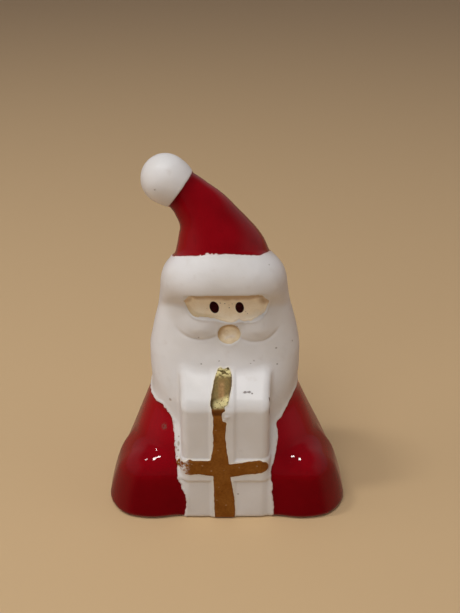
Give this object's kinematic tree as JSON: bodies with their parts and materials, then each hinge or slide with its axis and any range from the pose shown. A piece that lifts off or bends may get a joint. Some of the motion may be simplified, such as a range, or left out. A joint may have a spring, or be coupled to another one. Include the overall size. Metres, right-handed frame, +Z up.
{
  "type": "santa figurine",
  "caption": "Standing ceramic Santa with a wide coat, long beard, bent hat with a round bobble and a ribboned gift box held in front, on a flat underside.",
  "frame": {"origin": "on the table plane, under the middle of the figurine's box in plan", "axes": "+Z up, the face looks along -Y, +X is to the right of someone who looks at the face"},
  "size_m": [0.0478, 0.0316, 0.0689],
  "materials": {
    "glaze": "glossy deep red glaze with white, gold and flesh paint"
  },
  "bodies": {
    "root": {"santa_figurine": "glaze"}
  },
  "joints": []
}
